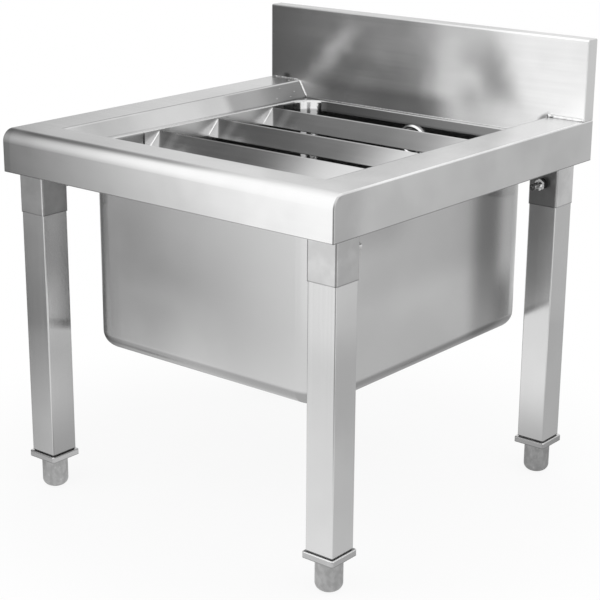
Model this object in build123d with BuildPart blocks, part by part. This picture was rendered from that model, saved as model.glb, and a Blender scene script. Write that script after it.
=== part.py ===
from build123d import *
import math
import os

# A floor-standing mop sink in stainless steel sheet, on four legs with adjustable feet. Millimetres.
# X runs to the right, Y to the back and Z up. The origin is on the floor, under the sink's middle.

os.makedirs("parts", exist_ok=True)

# Overall sizes
sink_width = 500.0
sink_depth = 515.0
apron_height = 51.0
splash_height = 100.0
splash_depth = 21.3
leg_clear_height = 360.0
foot_drop = 48.5
sheet = 1.2

# Deck: flat rims, sloped sides and a sunk ledge that falls a little to the back
rim_width = 50.0
slope_run = 13.0
recess_drop_front = 18.0
recess_drop_rear = 22.7
nose_radius = 15.0
fold_radius = 2.0
hem_width = 6.0
rail_hem_width = 4.0
splash_lip = 25.0
splash_fold = 2.5
splash_end_rounding = 1.0

# Bowl, measured inside
ledge_side = 8.2
ledge_front = 6.3
ledge_rear = 7.0
bowl_depth = 270.8
bowl_corner = 33.8
bowl_floor_radius = 18.8
flange_width = 5.0
lip_radius = 3.0

# Wringing rack
slat_pitch = 109.0
slat_width = 28.3
slat_angle = 45.0
slat_sheet = 1.5
slat_drop = 2.0
rack_length = 267.0
rack_height = 26.0
rack_drop = 1.0
rack_rear_gap = 54.2
rack_end_margin = 23.0

# Legs and their sockets
leg_size = 38.0
leg_wall = 1.2
leg_corner = 1.6
leg_side_inset = 9.5
leg_front_inset = 17.3
leg_rear_inset = 24.3
leg_fit = 0.2
socket_wall = 0.8
socket_below_apron = 51.0
gusset_sheet = 2.5
gusset_margin = 11.0
gusset_chamfer = 14.0
gusset_clearance = 0.3

# Lock nuts and lock screws on the sockets
lock_screw_radius = 4.0
lock_nut_width = 13.0
lock_nut_height = 8.0
lock_below_apron = 23.0
lock_screw_stand_out = 16.5
lock_key_width = 4.0
lock_key_depth = 4.0
thread_clearance = 0.05
hole_clearance = 0.3

# Feet
foot_flange_size = 44.0
foot_flange_height = 7.4
foot_flange_corner = 3.0
foot_flange_edge = 1.5
foot_gap_to_tube = 1.2
foot_plug_height = 24.0
foot_plug_clearance = 0.1
foot_cup_radius = 16.0
foot_cup_clearance = 0.3
foot_cup_rounding = 9.4
foot_cup_chamfer = 0.6
foot_stud_radius = 6.0
foot_stud_seat = 12.0
foot_stud_above_plug = 8.3

# Waste
waste_hole_radius = 45.0
waste_cup_radius = 43.0
waste_cup_wall = 1.5
waste_flange_radius = 56.0
waste_flange_sheet = 1.5
waste_dish = 2.7
waste_cup_depth = 47.5
waste_cone_height = 8.0
waste_outlet_radius = 23.9
waste_outlet_wall = 2.0
waste_outlet_length = 16.0
seal_sheet = 2.0
seal_width = 10.0
slip_ring_sheet = 1.2
backnut_radius = 50.0
backnut_height = 12.0
backnut_lug = 4.0
backnut_lug_width = 9.0
backnut_lug_count = 8

# Lift-out strainer
basket_rim_radius = 40.8
basket_rim_below_floor = 1.0
basket_radius_top = 37.0
basket_radius_bottom = 33.0
basket_height = 36.0
basket_wall = 1.0
basket_hole_radius = 2.0
basket_first_ring = 11.0
basket_ring_spacing = 7.0
basket_hole_rings = (8, 14, 20)
basket_slot_width = 3.0
basket_slot_height = 20.0
basket_slot_count = 20
stem_radius = 3.0
stem_collar_radius = 6.0
knob_radius = 9.0
knob_height = 8.0
knob_rounding = 2.7
knob_below_floor = 3.0
stopper_radius = 30.0
stopper_bevel = 4.0
stopper_height = 10.0
stopper_clearance = 0.3

# Overflow
overflow_drop = 57.0
overflow_hole_radius = 15.0
rosette_radius = 22.0
rosette_height = 4.2
rosette_dish = 2.2
rosette_edge = 1.0
rosette_crown = 3.0
rosette_rim_width = 7.0
rosette_drain_radius = 2.2
rosette_drain_count = 6
rosette_drain_circle = 9.5
overflow_screw_radius = 2.5
overflow_screw_head_radius = 5.0
overflow_screw_head_height = 2.2
overflow_screw_slot = 1.2
elbow_flange_radius = 20.0
elbow_flange_sheet = 2.0
elbow_drum_radius = 16.0
elbow_wall = 2.0
elbow_post_radius = 5.0
pipe_radius = 8.0
pipe_wall = 1.2
pipe_wall_gap = 4.1
pipe_bend_radius = 42.0
pipe_end_gap = 0.5
spigot_wall = 1.2
spigot_length = 16.0
spigot_clearance = 0.1
spigot_below_bowl = 35.5
pipe_nut_radius = 11.5
pipe_nut_length = 14.0

# How far a cutting tool reaches past what it cuts
reach = 5.0

# Levels and faces worked out from the sizes
apron_z = foot_drop + leg_clear_height
rim_z = apron_z + apron_height
top_z = rim_z + splash_height
front_y = -sink_depth / 2
rear_y = sink_depth / 2
splash_y = rear_y - splash_depth
half_width = sink_width / 2
recess_half = half_width - rim_width
recess_front = front_y + rim_width
recess_fall = (recess_drop_rear - recess_drop_front) / (splash_y - recess_front)
recess_rear_z = rim_z - recess_drop_rear
recess_plane = Plane(origin=(0, splash_y, recess_rear_z), x_dir=(1, 0, 0), z_dir=(0, recess_fall, 1))

bowl_half = recess_half - slope_run - ledge_side
bowl_front = recess_front + slope_run + ledge_front
bowl_rear = splash_y - ledge_rear
bowl_length = bowl_rear - bowl_front
bowl_mid = (bowl_front + bowl_rear) / 2
floor_z = rim_z - bowl_depth
under_z = floor_z - sheet

rack_rear = bowl_rear - rack_rear_gap
rack_front = rack_rear - rack_length
slat_reach = slat_width * math.cos(math.radians(slat_angle))
slat_names = ("slat_front", "slat_middle", "slat_rear")
rear_slat_y = rack_rear - rack_end_margin
slat_tops = [rear_slat_y - slat_pitch * place for place in (2, 1, 0)]

gusset_z = recess_rear_z - sheet - gusset_clearance
gusset_under = gusset_z - gusset_sheet
socket_size = leg_size + 2 * (leg_fit + socket_wall)
leg_x = half_width - leg_side_inset - leg_size / 2
leg_front_y = front_y + leg_front_inset + leg_size / 2
leg_rear_y = rear_y - leg_rear_inset - leg_size / 2
lock_z = apron_z - lock_below_apron

# Corner name, side along X, leg centre along Y, and the way towards the sink's middle along Y
corners = (
    ("front_left", -1, leg_front_y, 1),
    ("front_right", 1, leg_front_y, 1),
    ("rear_left", -1, leg_rear_y, -1),
    ("rear_right", 1, leg_rear_y, -1),
)


def recess_z(y):
    """Level of the sunk ledge at a place along Y."""
    return recess_rear_z + recess_fall * (splash_y - y)


def deck_form(skin):
    """The deck's outer block, or at skin above 0 the room inside a sheet that thick."""
    over = reach if skin else 0
    with BuildPart() as form:
        with BuildSketch(Plane.YZ) as profile:
            with BuildLine():
                Polyline(
                    (front_y + skin, apron_z - over),
                    (front_y + skin, rim_z - skin),
                    (rear_y + over, rim_z - skin),
                    (rear_y + over, apron_z - over),
                    close=True,
                )
            make_face()
            nose = profile.vertices().group_by(Axis.Y)[-1].sort_by(Axis.X)[0]
            fillet(nose, nose_radius - skin)
        extrude(amount=half_width - skin, both=True)
        for side in (0, -1):
            folds = form.edges().group_by(Axis.X)[side].sort_by(Axis.Z)[1:].sort_by(Axis.Y)[:-1]
            fillet(folds, fold_radius - skin)
    return form.part


def sunk_space(skin):
    """The space over the sunk ledge, grown by a sheet's thickness on its sides and floor."""
    slope_ratio = slope_run / recess_drop_rear
    side_growth = skin * math.hypot(slope_run, recess_drop_rear) / recess_drop_rear
    back = splash_y + skin
    with BuildPart() as space:
        for level in (rim_z + reach, rim_z - recess_drop_rear - reach):
            inset = (rim_z - level) * slope_ratio - side_growth
            with BuildSketch(Plane.XY.offset(level)):
                with Locations((0, (recess_front + inset + back) / 2)):
                    Rectangle(2 * (recess_half - inset), back - recess_front - inset)
        loft(ruled=True)
        split(bisect_by=recess_plane.offset(-skin), keep=Keep.TOP)
    return space.part


def bowl_form(skin):
    """The bowl's inner space, or at skin above 0 its outer shape, up to the rim's level."""
    with BuildPart() as form:
        with BuildSketch(Plane.XY.offset(floor_z - skin)):
            with Locations((0, bowl_mid)):
                RectangleRounded(2 * (bowl_half + skin), bowl_length + 2 * skin, bowl_corner + skin)
        extrude(amount=bowl_depth + skin)
        fillet(form.faces().sort_by(Axis.Z)[0].edges(), bowl_floor_radius + skin)
    return form.part


# Deck
with BuildPart() as deck_hollow:
    add(deck_form(sheet))
    add(sunk_space(sheet), mode=Mode.SUBTRACT)

with BuildPart() as splash_gap:
    with BuildSketch(Plane.XZ.offset(-splash_y)):
        with Locations((0, rim_z)):
            Rectangle(2 * recess_half, 2 * apron_height)
    extrude(amount=-splash_depth - reach)
    split(bisect_by=recess_plane, keep=Keep.TOP)

with BuildPart() as deck:
    add(deck_form(0))
    add(sunk_space(0), mode=Mode.SUBTRACT)
    add(deck_hollow.part, mode=Mode.SUBTRACT)
    add(splash_gap.part, mode=Mode.SUBTRACT)
    with BuildSketch(Plane.XY.offset(rim_z)):
        with Locations((0, bowl_mid)):
            RectangleRounded(
                2 * (bowl_half + flange_width),
                bowl_length + 2 * flange_width,
                bowl_corner + flange_width,
            )
    extrude(amount=-apron_height / 2 - reach, mode=Mode.SUBTRACT)
    with BuildSketch(Plane.XY.offset(apron_z)):
        Rectangle(2 * (half_width - sheet), sink_depth - 2 * sheet)
        with Locations((0, hem_width)):
            Rectangle(2 * (half_width - sheet - hem_width), sink_depth - 2 * sheet, mode=Mode.SUBTRACT)
    extrude(amount=sheet)
deck.part.label = "deck"
export_step(deck.part, "parts/deck.step")

# Splashback sheet: front face, top strip and rear lip in one fold, with a tongue down to the ledge
cap_face = half_width - sheet
with BuildPart() as splashback:
    with BuildSketch(Plane.YZ) as fold:
        with BuildLine():
            Polyline(
                (splash_y, rim_z),
                (splash_y, top_z),
                (rear_y, top_z),
                (rear_y, top_z - splash_lip),
                (rear_y - sheet, top_z - splash_lip),
                (rear_y - sheet, top_z - sheet),
                (splash_y + sheet, top_z - sheet),
                (splash_y + sheet, rim_z),
                close=True,
            )
        make_face()
        fillet(fold.vertices().group_by(Axis.Y)[-1], splash_fold)
        inner_folds = fold.vertices().group_by(Axis.Y)[-2]
        fillet(inner_folds, splash_fold - sheet)
    extrude(amount=cap_face, both=True)
    with BuildSketch(Plane.XZ.offset(-splash_y)):
        with BuildLine():
            Polyline(
                (-recess_half, rim_z),
                (-recess_half + slope_run, recess_rear_z),
                (recess_half - slope_run, recess_rear_z),
                (recess_half, rim_z),
                close=True,
            )
        make_face()
    extrude(amount=-sheet)
splashback.part.label = "splashback"
export_step(splashback.part, "parts/splashback.step")

for name, side in (("splash_end_left", -1), ("splash_end_right", 1)):
    with BuildPart() as splash_end:
        with BuildSketch(Plane.YZ.offset(side * cap_face)) as outline:
            with Locations((splash_y + splash_depth / 2, rim_z + splash_height / 2)):
                Rectangle(splash_depth, splash_height)
            fillet(outline.vertices().group_by(Axis.Y)[-1], splash_fold)
        extrude(amount=side * sheet)
        front_corner = (side * half_width, splash_y, rim_z + splash_height / 2)
        fillet(splash_end.edges().sort_by_distance(front_corner)[0], splash_end_rounding)
    splash_end.part.label = name
    export_step(splash_end.part, f"parts/{name}.step")

# Rear rail: a channel between the side aprons that closes the deck's back
with BuildPart() as rear_rail:
    with BuildSketch(Plane.YZ):
        with BuildLine():
            Polyline(
                (splash_y + sheet, rim_z - sheet),
                (rear_y, rim_z - sheet),
                (rear_y, apron_z),
                (rear_y - sheet - rail_hem_width, apron_z),
                (rear_y - sheet - rail_hem_width, apron_z + sheet),
                (rear_y - sheet, apron_z + sheet),
                (rear_y - sheet, rim_z - 2 * sheet),
                (splash_y + sheet, rim_z - 2 * sheet),
                close=True,
            )
        make_face()
    extrude(amount=cap_face, both=True)
    add(deck.part, mode=Mode.SUBTRACT)
rear_rail.part.label = "rear_rail"
export_step(rear_rail.part, "parts/rear_rail.step")

# Bowl, with its flange in the plane of the ledge and a rounded lip between flange and wall
waste_y = slat_tops[1] + (slat_pitch - slat_reach) / 2
overflow_z = rim_z - overflow_drop
overflow_plane = Plane(origin=(0, bowl_rear, overflow_z), x_dir=(1, 0, 0), z_dir=(0, 1, 0))

with BuildPart() as bowl_flange:
    with BuildSketch(Plane.XY.offset(rim_z)):
        with Locations((0, bowl_mid)):
            RectangleRounded(
                2 * (bowl_half + flange_width),
                bowl_length + 2 * flange_width,
                bowl_corner + flange_width,
            )
    extrude(amount=-2 * recess_drop_rear)
    split(bisect_by=recess_plane, keep=Keep.BOTTOM)
    split(bisect_by=recess_plane.offset(-sheet), keep=Keep.TOP)

with BuildPart() as bowl:
    add(bowl_form(sheet))
    split(bisect_by=recess_plane.offset(-sheet), keep=Keep.BOTTOM)
    add(bowl_flange.part)
    flange_under = bowl.faces().filter_by(recess_plane).sort_by(Axis.Z)[0]
    fillet(flange_under.inner_wires()[0].edges(), lip_radius - sheet)
    add(bowl_form(0), mode=Mode.SUBTRACT)
    flange_top = bowl.faces().filter_by(recess_plane).sort_by(Axis.Z)[-1]
    fillet(flange_top.inner_wires()[0].edges(), lip_radius)
    with BuildSketch(Plane.XY.offset(under_z - reach)):
        with Locations((0, waste_y)):
            Circle(waste_hole_radius)
    extrude(amount=sheet + 2 * reach, mode=Mode.SUBTRACT)
    with BuildSketch(overflow_plane.offset(-reach)):
        Circle(overflow_hole_radius)
    extrude(amount=sheet + 2 * reach, mode=Mode.SUBTRACT)
bowl.part.label = "bowl"
export_step(bowl.part, "parts/bowl.step")

# Wringing rack: inclined slats between two side strips that lie on the bowl's walls
for name, top_y in zip(slat_names, slat_tops):
    with BuildPart() as slat:
        tilt = math.radians(slat_angle)
        mid_y = top_y - slat_reach / 2 + slat_sheet / 2 * math.sin(tilt)
        slat_rise = slat_width * math.sin(tilt) + slat_sheet * math.cos(tilt)
        mid_z = recess_z(top_y) - slat_drop - slat_rise / 2
        with BuildSketch(Plane.YZ):
            with Locations((mid_y, mid_z)):
                Rectangle(slat_width, slat_sheet, rotation=slat_angle)
        extrude(amount=bowl_half - slat_sheet, both=True)
    slat.part.label = name
    export_step(slat.part, f"parts/{name}.step")

for name, side in (("rack_side_left", -1), ("rack_side_right", 1)):
    with BuildPart() as rack_side:
        with BuildSketch(Plane.YZ.offset(side * (bowl_half - slat_sheet))):
            with BuildLine():
                Polyline(
                    (rack_front, recess_z(rack_front) - rack_drop),
                    (rack_rear, recess_z(rack_rear) - rack_drop),
                    (rack_rear, recess_z(rack_rear) - rack_drop - rack_height),
                    (rack_front, recess_z(rack_front) - rack_drop - rack_height),
                    close=True,
                )
            make_face()
        extrude(amount=side * slat_sheet)
    rack_side.part.label = name
    export_step(rack_side.part, f"parts/{name}.step")

# Leg groups: gusset plate, socket, leg tube, foot insert, foot cup and foot stud at each corner
foot_flange_top = foot_drop - foot_gap_to_tube
foot_flange_under = foot_flange_top - foot_flange_height
foot_cup_top = foot_flange_under - foot_cup_clearance
foot_plug_size = leg_size - 2 * (leg_wall + foot_plug_clearance)
foot_stud_top = foot_flange_top + foot_plug_height + foot_stud_above_plug

for corner, side, leg_y, inward in corners:
    centre = (side * leg_x, leg_y)
    name = f"gusset_{corner}"
    with BuildPart() as gusset:
        outer_x = half_width - sheet
        inner_x = leg_x - socket_size / 2 - gusset_margin
        outer_y = (front_y + sheet) if inward > 0 else (rear_y - sheet)
        inner_y = leg_y + inward * (socket_size / 2 + gusset_margin)
        with BuildSketch(Plane.XY.offset(gusset_under)) as plate:
            with Locations((side * (outer_x + inner_x) / 2, (outer_y + inner_y) / 2)):
                Rectangle(outer_x - inner_x, abs(outer_y - inner_y))
            inner_corner = plate.vertices().sort_by_distance((0, 0, 0))[0]
            chamfer(inner_corner, gusset_chamfer)
        extrude(amount=gusset_sheet)
        add(deck.part, mode=Mode.SUBTRACT)
    gusset.part.label = name
    export_step(gusset.part, f"parts/{name}.step")

    name = f"socket_{corner}"
    inner_size = leg_size + 2 * leg_fit
    with BuildPart() as socket:
        with BuildSketch(Plane.XY.offset(apron_z - socket_below_apron)):
            with Locations(centre):
                RectangleRounded(socket_size, socket_size, leg_corner + leg_fit + socket_wall)
                RectangleRounded(inner_size, inner_size, leg_corner + leg_fit, mode=Mode.SUBTRACT)
        extrude(amount=gusset_under - apron_z + socket_below_apron)
        hole_face = Plane(origin=(centre[0], leg_y, lock_z), x_dir=(1, 0, 0), z_dir=(0, inward, 0))
        with BuildSketch(hole_face):
            Circle(lock_screw_radius + hole_clearance)
        extrude(amount=socket_size, mode=Mode.SUBTRACT)
    socket.part.label = name
    export_step(socket.part, f"parts/{name}.step")

    name = f"leg_{corner}"
    tube_bore = leg_size - 2 * leg_wall
    with BuildPart() as leg:
        with BuildSketch(Plane.XY.offset(foot_drop)):
            with Locations(centre):
                RectangleRounded(leg_size, leg_size, leg_corner)
                RectangleRounded(tube_bore, tube_bore, leg_corner - leg_wall, mode=Mode.SUBTRACT)
        extrude(amount=gusset_under - foot_drop)
    leg.part.label = name
    export_step(leg.part, f"parts/{name}.step")

    name = f"foot_insert_{corner}"
    with BuildPart() as foot_insert:
        with BuildSketch(Plane.XY.offset(foot_flange_under)):
            with Locations(centre):
                RectangleRounded(foot_flange_size, foot_flange_size, foot_flange_corner)
        extrude(amount=foot_flange_height)
        fillet(foot_insert.faces().sort_by(Axis.Z)[-1].edges(), foot_flange_edge)
        with BuildSketch(Plane.XY.offset(foot_flange_top)):
            with Locations(centre):
                RectangleRounded(foot_plug_size, foot_plug_size, leg_corner - leg_wall)
        extrude(amount=foot_plug_height)
        with BuildSketch(Plane.XY.offset(foot_flange_under)):
            with Locations(centre):
                Circle(foot_stud_radius + thread_clearance)
        extrude(amount=foot_flange_height + foot_plug_height, mode=Mode.SUBTRACT)
    foot_insert.part.label = name
    export_step(foot_insert.part, f"parts/{name}.step")

    name = f"foot_cup_{corner}"
    with BuildPart() as foot_cup:
        with BuildSketch(Plane.XY):
            with Locations(centre):
                Circle(foot_cup_radius)
        extrude(amount=foot_cup_top)
        fillet(foot_cup.edges().group_by(Axis.Z)[0], foot_cup_rounding)
        chamfer(foot_cup.edges().group_by(Axis.Z)[-1], foot_cup_chamfer)
        with BuildSketch(Plane.XY.offset(foot_stud_seat)):
            with Locations(centre):
                Circle(foot_stud_radius + thread_clearance)
        extrude(amount=foot_cup_top, mode=Mode.SUBTRACT)
    foot_cup.part.label = name
    export_step(foot_cup.part, f"parts/{name}.step")

    name = f"foot_stud_{corner}"
    with BuildPart() as foot_stud:
        with BuildSketch(Plane.XY.offset(foot_stud_seat)):
            with Locations(centre):
                Circle(foot_stud_radius)
        extrude(amount=foot_stud_top - foot_stud_seat)
        chamfer(foot_stud.edges().group_by(Axis.Z)[-1], foot_cup_chamfer)
    foot_stud.part.label = name
    export_step(foot_stud.part, f"parts/{name}.step")

# Lock nuts welded to the sockets, and the lock screws that press on the leg tubes
with BuildPart() as lock_nuts:
    for corner, side, leg_y, inward in corners:
        face_y = leg_y + inward * socket_size / 2
        nut_plane = Plane(origin=(side * leg_x, face_y, lock_z), x_dir=(1, 0, 0), z_dir=(0, inward, 0))
        with BuildSketch(nut_plane):
            RegularPolygon(lock_nut_width / 2, 6, major_radius=False, rotation=30)
            Circle(lock_screw_radius + thread_clearance, mode=Mode.SUBTRACT)
        extrude(amount=lock_nut_height)
lock_nuts.part.label = "lock_nuts"
export_step(lock_nuts.part, "parts/lock_nuts.step")

lock_screw_length = leg_fit + socket_wall + lock_nut_height + lock_screw_stand_out
with BuildPart() as lock_screws:
    for corner, side, leg_y, inward in corners:
        tip_y = leg_y + inward * leg_size / 2
        tip_plane = Plane(origin=(side * leg_x, tip_y, lock_z), x_dir=(1, 0, 0), z_dir=(0, inward, 0))
        with BuildSketch(tip_plane):
            Circle(lock_screw_radius)
        extrude(amount=lock_screw_length)
        with BuildSketch(tip_plane.offset(lock_screw_length - lock_key_depth)):
            RegularPolygon(lock_key_width / 2, 6, major_radius=False)
        extrude(amount=lock_key_depth, mode=Mode.SUBTRACT)
lock_screws.part.label = "lock_screws"
export_step(lock_screws.part, "parts/lock_screws.step")

# Waste: levels go down from the bowl's floor, and profiles turn about the waste's axis
waste_plane = Plane(origin=(0, waste_y, 0), x_dir=(1, 0, 0), z_dir=(0, -1, 0))
waste_axis = Axis((0, waste_y, 0), (0, 0, 1))
flange_z = floor_z + seal_sheet
throat_radius = waste_cup_radius - waste_cup_wall
cup_bottom = under_z - waste_cup_depth
outlet_bore = waste_outlet_radius - waste_outlet_wall
cone_bottom = cup_bottom - waste_cone_height
outlet_z = cone_bottom - waste_outlet_length
spigot_radius = pipe_radius - pipe_wall - spigot_clearance
spigot_z = under_z - spigot_below_bowl
spigot_start = math.sqrt(waste_cup_radius**2 - spigot_radius**2)


def turned(points, plane, axis):
    """A solid turned from a closed outline of radius and level points."""
    with BuildPart() as piece:
        with BuildSketch(plane):
            with BuildLine():
                Polyline(*points, close=True)
            make_face()
        revolve(axis=axis)
    return piece.part


def flat_ring(inner, outer, bottom, height):
    """A flat ring about the waste's axis."""
    with BuildPart() as ring:
        with BuildSketch(Plane.XY.offset(bottom)):
            with Locations((0, waste_y)):
                Circle(outer)
                Circle(inner, mode=Mode.SUBTRACT)
        extrude(amount=height)
    return ring.part


with BuildPart() as waste_cup:
    add(
        turned(
            (
                (waste_flange_radius, flange_z),
                (waste_flange_radius, flange_z + waste_flange_sheet / 2),
                (waste_flange_radius - waste_flange_sheet, flange_z + waste_flange_sheet),
                (throat_radius + waste_dish, flange_z + waste_flange_sheet),
                (throat_radius, flange_z + waste_flange_sheet - waste_dish),
                (throat_radius, cup_bottom + waste_cup_wall),
                (outlet_bore, cone_bottom + waste_cup_wall),
                (outlet_bore, outlet_z),
                (waste_outlet_radius, outlet_z),
                (waste_outlet_radius, cone_bottom),
                (waste_cup_radius, cup_bottom),
                (waste_cup_radius, flange_z),
            ),
            waste_plane,
            waste_axis,
        )
    )
    spigot_plane = Plane(origin=(0, waste_y + spigot_start, spigot_z), x_dir=(1, 0, 0), z_dir=(0, 1, 0))
    with BuildSketch(spigot_plane):
        Circle(spigot_radius)
    extrude(amount=spigot_length)
    with BuildSketch(spigot_plane.offset(-2 * waste_cup_wall)):
        Circle(spigot_radius - spigot_wall)
    extrude(amount=spigot_length + 2 * waste_cup_wall, mode=Mode.SUBTRACT)
waste_cup.part.label = "waste_cup"
export_step(waste_cup.part, "parts/waste_cup.step")

ring_bore = waste_cup_radius + hole_clearance
seal_rim = ring_bore + seal_width
slip_ring_z = under_z - seal_sheet - slip_ring_sheet
backnut_z = slip_ring_z - backnut_height

with BuildPart() as waste_seal_upper:
    add(flat_ring(ring_bore, seal_rim, floor_z, seal_sheet))
waste_seal_upper.part.label = "waste_seal_upper"
export_step(waste_seal_upper.part, "parts/waste_seal_upper.step")

with BuildPart() as waste_seal_lower:
    add(flat_ring(ring_bore, seal_rim, under_z - seal_sheet, seal_sheet))
waste_seal_lower.part.label = "waste_seal_lower"
export_step(waste_seal_lower.part, "parts/waste_seal_lower.step")

with BuildPart() as waste_slip_ring:
    add(flat_ring(ring_bore, seal_rim, slip_ring_z, slip_ring_sheet))
waste_slip_ring.part.label = "waste_slip_ring"
export_step(waste_slip_ring.part, "parts/waste_slip_ring.step")

with BuildPart() as waste_backnut:
    with BuildSketch(Plane.XY.offset(backnut_z)):
        with Locations((0, waste_y)):
            Circle(backnut_radius)
            with PolarLocations(backnut_radius, backnut_lug_count):
                Rectangle(2 * backnut_lug, backnut_lug_width)
            Circle(waste_cup_radius + thread_clearance, mode=Mode.SUBTRACT)
    extrude(amount=backnut_height)
waste_backnut.part.label = "waste_backnut"
export_step(waste_backnut.part, "parts/waste_backnut.step")

# Lift-out strainer: a perforated basket on a stem, with a knob above and a rubber stopper below
basket_top = floor_z - basket_rim_below_floor
basket_bottom = basket_top - basket_height
stopper_inner = stopper_radius - stopper_bevel
seat_slope = waste_cone_height / (throat_radius - outlet_bore)


def seat_level(radius):
    """Level of the waste cone's upper face at a radius."""
    return cone_bottom + waste_cup_wall + (radius - outlet_bore) * seat_slope


stopper_bottom = seat_level(stopper_inner) + stopper_clearance
stopper_edge = seat_level(stopper_radius) + stopper_clearance
stopper_top = stopper_bottom + stopper_height
knob_top = floor_z - knob_below_floor

with BuildPart() as strainer_basket:
    add(
        turned(
            (
                (stem_radius + thread_clearance, basket_bottom),
                (basket_radius_bottom, basket_bottom),
                (basket_radius_top, basket_top - basket_wall),
                (basket_rim_radius, basket_top - basket_wall),
                (basket_rim_radius, basket_top),
                (basket_radius_top - basket_wall, basket_top),
                (basket_radius_bottom - basket_wall, basket_bottom + basket_wall),
                (stem_radius + thread_clearance, basket_bottom + basket_wall),
            ),
            waste_plane,
            waste_axis,
        )
    )
    with BuildSketch(Plane.XY.offset(basket_bottom)):
        for ring, count in enumerate(basket_hole_rings):
            with Locations((0, waste_y)):
                with PolarLocations(basket_first_ring + ring * basket_ring_spacing, count):
                    Circle(basket_hole_radius)
    extrude(amount=basket_wall, mode=Mode.SUBTRACT)
    slot_mid = (basket_top + basket_bottom) / 2
    slot_cut = 4 * basket_wall + basket_radius_top - basket_radius_bottom
    with Locations((0, waste_y, slot_mid)):
        with PolarLocations(basket_radius_bottom, basket_slot_count):
            Box(slot_cut, basket_slot_width, basket_slot_height, mode=Mode.SUBTRACT)
strainer_basket.part.label = "strainer_basket"
export_step(strainer_basket.part, "parts/strainer_basket.step")

with BuildPart() as strainer_knob:
    add(
        turned(
            (
                (0, stopper_bottom),
                (stem_radius, stopper_bottom),
                (stem_radius, stopper_top),
                (stem_collar_radius, stopper_top),
                (stem_collar_radius, basket_bottom),
                (stem_radius, basket_bottom),
                (stem_radius, knob_top - knob_height),
                (knob_radius, knob_top - knob_height),
                (knob_radius, knob_top),
                (0, knob_top),
            ),
            waste_plane,
            waste_axis,
        )
    )
    fillet(strainer_knob.edges().group_by(Axis.Z)[-1], knob_rounding)
strainer_knob.part.label = "strainer_knob"
export_step(strainer_knob.part, "parts/strainer_knob.step")

with BuildPart() as strainer_stopper:
    add(
        turned(
            (
                (stem_radius + thread_clearance, stopper_bottom),
                (stopper_inner, stopper_bottom),
                (stopper_radius, stopper_edge),
                (stopper_radius, stopper_top - seal_sheet),
                (stopper_inner, stopper_top),
                (stem_radius + thread_clearance, stopper_top),
            ),
            waste_plane,
            waste_axis,
        )
    )
strainer_stopper.part.label = "strainer_stopper"
export_step(strainer_stopper.part, "parts/strainer_stopper.step")

# Overflow: rosette and screw inside the bowl, seal and elbow outside, then the pipe to the waste
overflow_axis = Axis((0, bowl_rear, overflow_z), (0, 1, 0))
rosette_plane = Plane(origin=(0, bowl_rear, overflow_z), x_dir=(1, 0, 0), z_dir=(0, 0, 1))
rosette_bore = overflow_screw_radius + hole_clearance
dish = rosette_height - rosette_dish

with BuildPart() as overflow_rosette:
    with BuildSketch(rosette_plane):
        with BuildLine():
            Line((rosette_bore, 0), (rosette_radius, 0))
            Line((rosette_radius, 0), (rosette_radius, -rosette_edge))
            ThreePointArc(
                (rosette_radius, -rosette_edge),
                (rosette_radius - rosette_crown, -rosette_height),
                (rosette_radius - rosette_rim_width, -dish),
            )
            Line((rosette_radius - rosette_rim_width, -dish), (rosette_bore, -dish))
            Line((rosette_bore, -dish), (rosette_bore, 0))
        make_face()
    revolve(axis=overflow_axis)
    with BuildSketch(overflow_plane.offset(-rosette_height)):
        with PolarLocations(rosette_drain_circle, rosette_drain_count):
            Circle(rosette_drain_radius)
    extrude(amount=rosette_height, mode=Mode.SUBTRACT)
overflow_rosette.part.label = "overflow_rosette"
export_step(overflow_rosette.part, "parts/overflow_rosette.step")

pipe_y = bowl_rear + sheet + pipe_wall_gap + pipe_radius
seal_back = sheet + seal_sheet
drum_depth = pipe_y - bowl_rear - seal_back + spigot_radius
drum_back = seal_back + drum_depth
screw_length = drum_back - elbow_wall + dish - reach

with BuildPart() as overflow_screw:
    with BuildSketch(overflow_plane.offset(-dish - overflow_screw_head_height)):
        Circle(overflow_screw_head_radius)
    extrude(amount=overflow_screw_head_height)
    fillet(overflow_screw.edges().group_by(Axis.Y)[0], overflow_screw_head_height / 2)
    with BuildSketch(overflow_plane.offset(-dish - overflow_screw_head_height)):
        Rectangle(2 * overflow_screw_head_radius, overflow_screw_slot)
    extrude(amount=overflow_screw_head_height / 2, mode=Mode.SUBTRACT)
    with BuildSketch(overflow_plane.offset(-dish)):
        Circle(overflow_screw_radius)
    extrude(amount=screw_length)
overflow_screw.part.label = "overflow_screw"
export_step(overflow_screw.part, "parts/overflow_screw.step")

with BuildPart() as overflow_seal:
    with BuildSketch(overflow_plane.offset(sheet)):
        Circle(elbow_flange_radius)
        Circle(overflow_hole_radius, mode=Mode.SUBTRACT)
    extrude(amount=seal_sheet)
overflow_seal.part.label = "overflow_seal"
export_step(overflow_seal.part, "parts/overflow_seal.step")

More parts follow.
